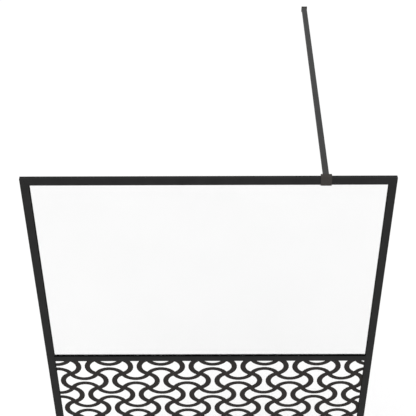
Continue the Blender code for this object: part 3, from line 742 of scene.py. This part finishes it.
@dataclass
class Fretwork:
    """A laser-cut sheet: a chequerboard of bone-shaped openings between two sets of wavy lines."""

    finishes: Finishes
    across: Wave = Wave(rise=0.354, width=0.180)
    upright: Wave = Wave(rise=0.335, width=0.208)
    cell: Flat = (80.6 * MM, 67.4 * MM)
    first: Flat = (3.2 * MM, 32 * MM)            # first cell's middle from the field's upper left
    trim: float = 0.4 * MM                       # cells run on this far behind the frame
    smallest: float = 20 * MM * MM               # smaller cut-off cells aren't opened
    steps: int = 9                               # straight pieces in each arc
    edge_radius: float = 0.25 * MM

    def bone(self, pinch: Wave, swell: Wave) -> Outline:
        """Draw one opening about its middle, in cells, anticlockwise.

        Args:
            pinch: the line that bends into the opening above and below it.
            swell: the line that bends out of it at each side.

        Returns:
            The opening's outline.
        """
        pinch_radius = pinch.radius + pinch.width / 2
        pinch_centre = HALF_CELL - pinch.rise + pinch.radius
        swell_radius = swell.radius - swell.width / 2
        swell_centre = HALF_CELL + swell.rise - swell.radius
        distance = math.hypot(swell_centre, pinch_centre)
        along = (pinch_radius ** 2 - swell_radius ** 2 + distance ** 2) / (2 * distance)
        away = math.sqrt(pinch_radius ** 2 - along ** 2)
        unit = (swell_centre / distance, -pinch_centre / distance)
        crossings = [(along * unit[0] + side * away * unit[1],
                      pinch_centre + along * unit[1] - side * away * unit[0]) for side in (1, -1)]
        corner = min(crossings, key=lambda point: math.dist(point, (HALF_CELL, HALF_CELL)))
        reach = math.asin(corner[0] / pinch_radius)
        spread_angle = math.atan2(corner[1], corner[0] - swell_centre)
        points = []
        for i in range(self.steps):
            angle = reach * (2 * i / self.steps - 1)
            points.append((pinch_radius * math.sin(angle), pinch_centre - pinch_radius * math.cos(angle)))
        for i in range(self.steps):
            angle = spread_angle * (1 - 2 * i / self.steps)
            points.append((swell_centre + swell_radius * math.cos(angle), swell_radius * math.sin(angle)))
        points += [(-x, -y) for x, y in points]
        return points[::-1]

    def openings(self) -> list[Outline]:
        """Lay the openings over the field between the stiles and the rails, trimmed to it.

        Returns:
            Each opening's outline, anticlockwise.
        """
        left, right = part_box("left_stile")[1].x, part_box("right_stile")[0].x
        low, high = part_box("bottom_rail")[1].z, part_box("mid_rail")[0].z
        limits = ((0, left - self.trim, 1), (0, right + self.trim, -1),
                  (1, low - self.trim, 1), (1, high + self.trim, -1))
        lying = self.bone(self.across, self.upright)
        standing = [(y, x) for x, y in reversed(self.bone(self.upright, self.across))]
        width, height = self.cell
        columns = math.ceil((right - left) / width) + 2
        rows = math.ceil((high - low) / height) + 2
        kept = []
        for column in range(-1, columns):
            for row in range(-1, rows):
                x = left + self.first[0] + column * width
                z = high - self.first[1] - row * height
                shape = standing if (column + row) % 2 else lying
                parts = [[(x + u * width, z + v * height) for u, v in shape]]
                for axis, limit, side in limits:
                    parts = [piece for part in parts for piece in clip(part, axis, limit, side)]
                kept += [part for part in parts if area(part) > self.smallest]
        return kept

    def build(self) -> None:
        """Fill the sheet round its openings, give it its thickness and ease its cut edges."""
        low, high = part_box("fret_panel")
        loops = [[(low.x, low.z), (high.x, low.z), (high.x, high.z), (low.x, high.z)]]
        loops += self.openings()
        points, faces = [], []
        for loop in loops:
            faces.append(list(range(len(points), len(points) + len(loop))))
            points += [Vector(point) for point in loop]
        corners, _, triangles, _, _, sources = delaunay_2d_cdt(points, [], faces, WITHIN_OUTLINES,
                                                               SAME / 10)
        in_sheet_alone = [list(loops_around) == [0] for loops_around in sources]
        kept = [triangle for triangle, metal in zip(triangles, in_sheet_alone) if metal]
        mesh = bpy.data.meshes.new("fret_sheet")
        mesh.from_pydata([(point.x, low.y, point.y) for point in corners], [], kept)
        piece = bpy.data.objects.new("fret_sheet", mesh)
        bpy.context.collection.objects.link(piece)
        with editing(piece):
            bpy.ops.mesh.select_all(action="SELECT")
            bpy.ops.mesh.extrude_region_move(TRANSFORM_OT_translate={"value": (0, high.y - low.y, 0)})
            bpy.ops.mesh.select_all(action="SELECT")
            bpy.ops.mesh.normals_make_consistent(inside=False)
            self.ease_cut_edges(piece)
        only(piece)
        bpy.ops.object.shade_smooth_by_angle(angle=SMOOTH_ANGLE)
        self.finishes.dress(piece, Slot.FRET, Body.PANEL, "fret_panel")
        LOG.info("fretwork: %d openings", len(loops) - 1)

    def ease_cut_edges(self, piece: bpy.types.Object) -> None:
        """Ease the rims of the openings, where a flat face meets a cut wall.

        Args:
            piece: the sheet, in edit mode.
        """
        bpy.ops.mesh.select_mode(type="EDGE")
        bpy.ops.mesh.select_all(action="DESELECT")
        mesh = bmesh.from_edit_mesh(piece.data)
        for edge in mesh.edges:
            flat = [is_along(face.normal, Y) for face in edge.link_faces]
            edge.select_set(len(flat) == 2 and flat[0] != flat[1])
        bmesh.update_edit_mesh(piece.data)
        bpy.ops.mesh.bevel(offset=self.edge_radius, offset_type="OFFSET", segments=1, affect="EDGES")


def area(outline: Outline) -> float:
    """Area inside a closed outline."""
    following = outline[1:] + outline[:1]
    return abs(sum(x * z1 - x1 * z for (x, z), (x1, z1) in zip(outline, following))) / 2


def kept_chains(outline: Outline, axis: int, limit: float, side: int) -> list[Outline]:
    """Find the runs of an outline on the kept side of a straight edge.

    Args:
        outline: closed outline that crosses the edge.
        axis: 0 for an edge at one x, 1 for an edge at one z.
        limit: where the edge is.
        side: 1 to keep what is above it, -1 below.

    Returns:
        Each run, with the crossings at its two ends.
    """
    count = len(outline)
    height = [side * (point[axis] - limit) for point in outline]
    start = next(i for i in range(count) if height[i] < 0 <= height[(i + 1) % count])
    chains: list[Outline] = []
    for step in range(count):
        i = (start + step) % count
        j = (i + 1) % count
        crossing = None
        if (height[i] < 0) != (height[j] < 0):
            share = height[i] / (height[i] - height[j])
            crossing = tuple(a + (b - a) * share for a, b in zip(outline[i], outline[j]))
        if height[i] < 0 <= height[j]:
            chains.append([crossing])
        if height[j] >= 0:
            chains[-1].append(outline[j])
        elif crossing:
            chains[-1].append(crossing)
    return chains


def clip(outline: Outline, axis: int, limit: float, side: int) -> list[Outline]:
    """Cut a closed outline by a straight edge.

    Args:
        outline: closed outline.
        axis: 0 for an edge at one x, 1 for an edge at one z.
        limit: where the edge is.
        side: 1 to keep what is above it, -1 below.

    Returns:
        The pieces on the kept side.
    """
    inside = [side * (point[axis] - limit) >= 0 for point in outline]
    if all(inside):
        return [outline]
    if not any(inside):
        return []
    chains = kept_chains(outline, axis, limit, side)
    ends = []
    for number, chain in enumerate(chains):
        ends.append((chain[0][1 - axis], number, "start"))
        ends.append((chain[-1][1 - axis], number, "end"))
    ends.sort()
    follows = {}
    for first, second in zip(ends[::2], ends[1::2]):
        leaving, entering = (first, second) if first[2] == "end" else (second, first)
        follows[leaving[1]] = entering[1]
    pieces = []
    while follows:
        number = next(iter(follows))
        piece: Outline = []
        while number in follows:
            piece += chains[number]
            number = follows.pop(number)
        pieces.append(piece)
    return pieces


# Pane

@dataclass
class Pane:
    """The toughened glass, with its edges ground off."""

    finishes: Finishes
    arris: float = 0.8 * MM

    def build(self) -> None:
        """Cut the pane to size and grind its twelve edges."""
        piece = add_block("toughened_pane", *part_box("glass_pane"))
        with editing(piece):
            round_edges(piece, self.arris, 1, lambda middle, way: True)
        self.finishes.dress(finish_mesh(piece), Slot.GLASS, Body.PANEL, "glass_pane")


# Clamp, bar and socket

@dataclass
class RailClamp:
    """The cast saddle over the top rail, with lugs for its grub screws and a spigot for the bar."""

    finishes: Finishes
    gap: float = 0.3 * MM
    ledge: float = 2 * MM
    edge_radius: float = 0.8 * MM
    lug_radius: float = 0.8 * MM
    foot_radius: float = 0.4 * MM
    spigot_radius: float = 0.8 * MM
    bar_wall: float = 1.5 * MM
    grub_hole: float = 4.2 * MM
    grub_bevel: float = 0.4 * MM
    key: Flat = (2.3 * MM, 2 * MM)               # hexagon socket, across corners and depth
    grubs: tuple[str, str] = ("clamp_grub_screw_left", "clamp_grub_screw_right")

    def build(self) -> None:
        """Model the casting and its two grub screws."""
        low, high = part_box("clamp_body")
        bar_low, bar_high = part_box("brace_bar")
        lug_front, lug_rear = (corner.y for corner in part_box(self.grubs[0]))
        rear = bar_low.y - self.gap
        ledge_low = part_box("clamp_pressure_plate")[1].z + self.gap
        bridge_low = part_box("clamp_liner")[1].z + self.gap
        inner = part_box("top_rail")[1].y + self.gap
        beyond = 5 * MM
        piece = self.rounded("rail_clamp_casting", (low.x, low.y, low.z), (high.x, rear, high.z),
                             self.edge_radius)
        fuse(piece, self.rounded("lugs", (low.x, rear - MM, low.z),
                                 (high.x, lug_rear, ledge_low + self.ledge), self.lug_radius))
        cut(piece, [add_block("rail_space", (low.x - beyond, -inner, low.z - beyond),
                              (high.x + beyond, inner, bridge_low))])
        cut(piece, [add_block("plate_space", (low.x - beyond, 0, low.z - beyond),
                              (high.x + beyond, lug_front, ledge_low))])
        cut(piece, [add_block("bar_space", (bar_low.x - self.gap, rear, bar_low.z - self.gap),
                              (bar_high.x + self.gap, lug_rear + beyond, high.z + beyond))])
        inset = self.bar_wall + self.gap
        spigot = add_block("spigot", (bar_low.x + inset, rear - MM / 2, bar_low.z + inset),
                           (bar_high.x - inset, high.y, bar_high.z - inset))
        with editing(spigot):
            round_edges(spigot, self.spigot_radius, 3, lambda middle, way: middle.y > rear)
        fuse(piece, spigot)
        drills = []
        for node in self.grubs:
            start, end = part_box(node)
            middle = (start + end) / 2
            drills.append(add_rod("drill", (middle.x, lug_front - MM, middle.z), (0, 1, 0),
                                  lug_rear - lug_front + 2 * MM, self.grub_hole))
        cut(piece, drills)
        self.finishes.dress(finish_mesh(piece), Slot.CLAMP, Body.CLAMP, "clamp_body")
        for node in self.grubs:
            self.grub_screw(node)

    def rounded(self, name: str, low: Point, high: Point, radius: float) -> bpy.types.Object:
        """Add a box with rounded edges and a barely eased foot.

        Args:
            name: the box's name.
            low: its lowest corner.
            high: its highest corner.
            radius: of every edge above the foot.

        Returns:
            The box.
        """
        box = add_block(name, low, high)
        with editing(box):
            round_edges(box, radius, 5, lambda middle, way: middle.z > low[2] + SAME)
            round_edges(box, self.foot_radius, 2, lambda middle, way: abs(middle.z - low[2]) < SAME
                        and not is_along(way, Z))
        return box

    def grub_screw(self, node: str) -> None:
        """Turn one grub screw and press its hexagon socket.

        Args:
            node: the CAD node that it stands for.
        """
        low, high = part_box(node)
        middle = (low + high) / 2
        piece = add_rod(node + "_turned", (middle.x, low.y, middle.z), (0, 1, 0), high.y - low.y,
                        high.x - low.x)
        with editing(piece):
            round_edges(piece, self.grub_bevel, 2, lambda place, way: not is_along(way, Y))
        size, depth = self.key
        cut(piece, [add_rod("key", (middle.x, high.y - depth, middle.z), (0, 1, 0), 2 * depth,
                            size, HEXAGON)])
        self.finishes.dress(finish_mesh(piece), Slot.ZINC, Body.CLAMP, node)


@dataclass
class BraceBar:
    """The square tube from the clamp to the wall."""

    finishes: Finishes
    wall: float = 1.5 * MM
    corner: float = 0.5 * MM
    screw_hole: float = 4 * MM
    screws: tuple[str, str] = ("bar_lock_screw", "wall_socket_screw")

    def build(self) -> None:
        """Draw the tube, round its corners, bore it and drill it for its two screws."""
        low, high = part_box("brace_bar")
        piece = add_block("brace_tube", low, high)
        with editing(piece):
            round_edges(piece, self.corner, 5, lambda middle, way: is_along(way, Y))
        cut(piece, [add_block("bore", (low.x + self.wall, low.y - MM, low.z + self.wall),
                              (high.x - self.wall, high.y + MM, high.z - self.wall))])
        drills = []
        for node in self.screws:
            start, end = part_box(node)
            middle = (start + end) / 2
            drills.append(add_rod("drill", (middle.x, middle.y, low.z - MM), (0, 0, 1),
                                  2 * self.wall, self.screw_hole))
        cut(piece, drills)
        self.finishes.dress(finish_mesh(piece), Slot.BAR, Body.BRACE, "brace_bar")


@dataclass
class WallSocket:
    """The cast flange at the wall, with a plug inside the bar and a hole for its wall screw."""

    finishes: Finishes
    gap: float = 0.3 * MM
    bar_wall: float = 1.5 * MM
    depth: float = 5 * MM
    floor: float = 2 * MM
    edge_radius: float = 1.0 * MM
    wall_hole: float = 5 * MM

    def build(self) -> None:
        """Model the flange, its recess and its bored plug."""
        low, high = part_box("wall_socket")
        bar_low, bar_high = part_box("brace_bar")
        front = high.y - self.depth
        piece = add_block("wall_socket_casting", (low.x, front, low.z), high)
        with editing(piece):
            round_edges(piece, self.edge_radius, 4, lambda middle, way: middle.y < high.y - SAME)
        cut(piece, [add_block("recess", (bar_low.x - self.gap, front - MM, bar_low.z - self.gap),
                              (bar_high.x + self.gap, high.y - self.floor, bar_high.z + self.gap))])
        inset = self.bar_wall + self.gap
        plug = add_block("plug", (bar_low.x + inset, low.y, bar_low.z + inset),
                         (bar_high.x - inset, high.y - self.floor / 2, bar_high.z - inset))
        with editing(plug):
            round_edges(plug, self.edge_radius / 2, 3, lambda middle, way: middle.y < front)
        fuse(piece, plug)
        middle = (low + high) / 2
        cut(piece, [add_rod("drill", (middle.x, low.y - MM, middle.z), (0, 1, 0),
                            high.y - low.y + 2 * MM, self.wall_hole)])
        self.finishes.dress(finish_mesh(piece), Slot.CLAMP, Body.BRACE, "wall_socket")


# Screws and caps

@dataclass
class PanScrews:
    """Pan-head machine screws with hexagon sockets, each modelled anew from the same pattern."""

    finishes: Finishes
    head: Flat = (6 * MM, 1.6 * MM)              # diameter and height
    shank: float = 3.4 * MM
    dome: float = 0.9 * MM
    key: Flat = (2.4 * MM, 1.0 * MM)             # across corners, and depth
    bar_screws: tuple[str, str] = ("bar_lock_screw", "wall_socket_screw")

    def pattern(self, length: float) -> bpy.types.Object:
        """Model one screw that stands on the origin with its head up.

        Args:
            length: the shank's.

        Returns:
            The screw.
        """
        diameter, height = self.head
        piece = add_rod("screw", (0, 0, 0), (0, 0, 1), height, diameter)
        with editing(piece):
            pick_faces(piece, lambda middle, normal: normal.z < -NEARLY)
            bpy.ops.mesh.inset(thickness=(diameter - self.shank) / 2)
            bpy.ops.mesh.extrude_region_move(TRANSFORM_OT_translate={"value": (0, 0, -length)})
            round_edges(piece, self.dome, 4, lambda middle, way: abs(middle.z - height) < SAME)
        size, depth = self.key
        cut(piece, [add_rod("key", (0, 0, height - depth), (0, 0, 1), 2 * depth, size, HEXAGON)])
        return piece

    def place(self, node: str, body: Body, upwards: bool) -> None:
        """Put one screw where its CAD node is.

        Args:
            node: the CAD node that it stands for.
            body: what it rides on.
            upwards: whether it is driven up from below, or forwards from the back.
        """
        low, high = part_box(node)
        middle = (low + high) / 2
        head = self.head[1]
        if upwards:
            piece = self.pattern(high.z - low.z - head)
            piece.rotation_euler = (math.pi, 0, 0)
            piece.location = (middle.x, middle.y, low.z + head)
        else:
            piece = self.pattern(high.y - low.y - head)
            piece.rotation_euler = (-math.pi / 2, 0, 0)
            piece.location = (middle.x, high.y - head, middle.z)
        settle(piece, node + "_pan_head")
        self.finishes.dress(finish_mesh(piece), Slot.ZINC, body, node)

    def build(self) -> None:
        """Place the corner screws at the back, and the two that go up into the bar."""
        for node in sorted(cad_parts):
            if node.startswith("corner_screw_"):
                self.place(node, Body.PANEL, False)
        for node in self.bar_screws:
            self.place(node, Body.BRACE, True)


@dataclass
class ScrewCaps:
    """Domed nylon caps over the three screws that lock the panel to its channel."""

    finishes: Finishes
    wall: float = 1 * MM
    dome: float = 1.1 * MM
    sides: int = 40
    count: int = 3

    def build(self) -> None:
        """Mould each cap as a shallow cup with a rounded rim."""
        for number in range(1, self.count + 1):
            node = f"lock_screw_cap_{number}"
            low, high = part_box(node)
            middle = (low + high) / 2
            piece = add_rod(node + "_moulding", (middle.x, low.y, middle.z), (0, 1, 0),
                            high.y - low.y, high.x - low.x, self.sides)
            with editing(piece):
                round_edges(piece, self.dome, 5, lambda place, way, top=high.y:
                            abs(place.y - top) < SAME)
            recess = high.y - low.y - self.wall
            cut(piece, [add_rod("recess", (middle.x, low.y - recess, middle.z), (0, 1, 0),
                                2 * recess, high.x - low.x - 2 * self.wall, self.sides)])
            self.finishes.dress(finish_mesh(piece), Slot.CAP, Body.PANEL, node)


@dataclass
class KeptParts:
    """CAD nodes whose shape is already right: they only get their finish."""

    finishes: Finishes
    slots: tuple[tuple[str, Slot], ...] = (
        ("wall_channel", Slot.FRAME), ("corner_key_", Slot.MILL), ("mid_rail_spigot_", Slot.MILL),
        ("mid_rail_screw_", Slot.ZINC), ("channel_lock_", Slot.ZINC), ("glass_seal_", Slot.RUBBER),
        ("glass_setting_", Slot.RUBBER), ("fret_seal_", Slot.RUBBER), ("fret_setting_", Slot.RUBBER),
        ("clamp_liner", Slot.RUBBER), ("clamp_pressure_plate", Slot.ZINC),
    )

    def build(self) -> None:
        """Dress them."""
        for name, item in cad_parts.items():
            for start, slot in self.slots:
                if name.startswith(start):
                    self.finishes.dress_node(item, slot)
                    break


# Studio

@dataclass
class Studio:
    """A plain white floor, even white light and the camera."""

    camera_place: Point = (0.01261, -2.17099, 3.70882)
    pitch: float = 0.7099253                     # radians, down from level
    yaw: float = -0.0064720
    roll: float = -0.0070175
    lens: float = 91.501
    sight: float = 200.0
    floor_half: float = 30.0
    mottle: float = 0.4
    floor_rough: float = 0.9
    floor_colours: tuple[str, str] = ("#f0f0f0", "#f2f2f2")
    ambient: float = 1.02
    lamp_strength: float = 0.7
    lamp_width: float = math.radians(60)
    lamp_turn: Point = (0.7, -0.5, 0)
    fill_place: Point = (0.31, 1.5, 2.9)
    fill_turn: Point = (-0.55, 0, 0)
    fill_power: float = 5.0
    fill_size: float = 0.5

    def build(self) -> None:
        """Lay the floor, light it and stand the camera."""
        self.floor()
        self.light()
        self.camera()

    def floor(self) -> None:
        """Lay a matt pale floor with a barely visible mottle."""
        bpy.ops.mesh.primitive_plane_add(size=2 * self.floor_half, location=(0, 0, 0))
        piece = bpy.context.object
        piece.name = "studio_floor"
        material, shader, place = start_material("matt_pale_studio_floor")
        tree = material.node_tree
        mottle = add_node(tree, "ShaderNodeTexNoise", None, {"Vector": place, "Scale": 1 / self.mottle})
        tree.links.new(blend_tones(mottle.outputs["Fac"], *self.floor_colours),
                       shader.inputs["Base Color"])
        shader.inputs["Roughness"].default_value = self.floor_rough
        shader.inputs["Specular IOR Level"].default_value = 0.0
        piece.data.materials.append(material)

    def light(self) -> None:
        """Even light from all round, a wide soft lamp, and a small fill lamp above the wall end."""
        world = bpy.data.worlds.new("studio_world")
        bpy.context.scene.world = world
        world.use_nodes = True
        background = world.node_tree.nodes["Background"]
        background.inputs["Color"].default_value = (1, 1, 1, 1)
        background.inputs["Strength"].default_value = self.ambient
        bpy.ops.object.light_add(type="SUN", rotation=self.lamp_turn)
        bpy.context.object.visible_glossy = False
        bpy.context.object.data.energy = self.lamp_strength
        bpy.context.object.data.angle = self.lamp_width
        bpy.ops.object.light_add(type="AREA", location=self.fill_place, rotation=self.fill_turn)
        bpy.context.object.visible_glossy = False
        bpy.context.object.data.energy = self.fill_power
        bpy.context.object.data.size = self.fill_size
        bpy.context.scene.view_settings.view_transform = "Standard"

    def camera(self) -> None:
        """Stand the camera above and in front of the panel, looking down at it."""
        ahead = Vector((math.sin(self.yaw) * math.cos(self.pitch),
                        math.cos(self.yaw) * math.cos(self.pitch), -math.sin(self.pitch)))
        level = Vector((math.cos(self.yaw), -math.sin(self.yaw), 0))
        above = level.cross(ahead)
        right = math.cos(self.roll) * level + math.sin(self.roll) * above
        up = math.cos(self.roll) * above - math.sin(self.roll) * level
        bpy.ops.object.camera_add()
        camera = bpy.context.object
        turn = Matrix((right, up, -ahead)).transposed().to_4x4()
        turn.translation = self.camera_place
        camera.matrix_world = turn
        camera.data.lens = self.lens
        camera.data.clip_end = self.sight
        bpy.context.scene.camera = camera


def main() -> None:
    """Build the screen piece by piece, then the studio round it."""
    logging.basicConfig(level=logging.INFO, format="%(message)s")
    bpy.ops.object.select_all(action="DESELECT")
    finishes = Finishes()
    for assembly in (KeptParts, PanelFrame, Fretwork, Pane, RailClamp, BraceBar, WallSocket, PanScrews,
                     ScrewCaps):
        assembly(finishes).build()
        LOG.info("built %s", assembly.__name__)
    Studio().build()


if __name__ == "__main__":
    main()
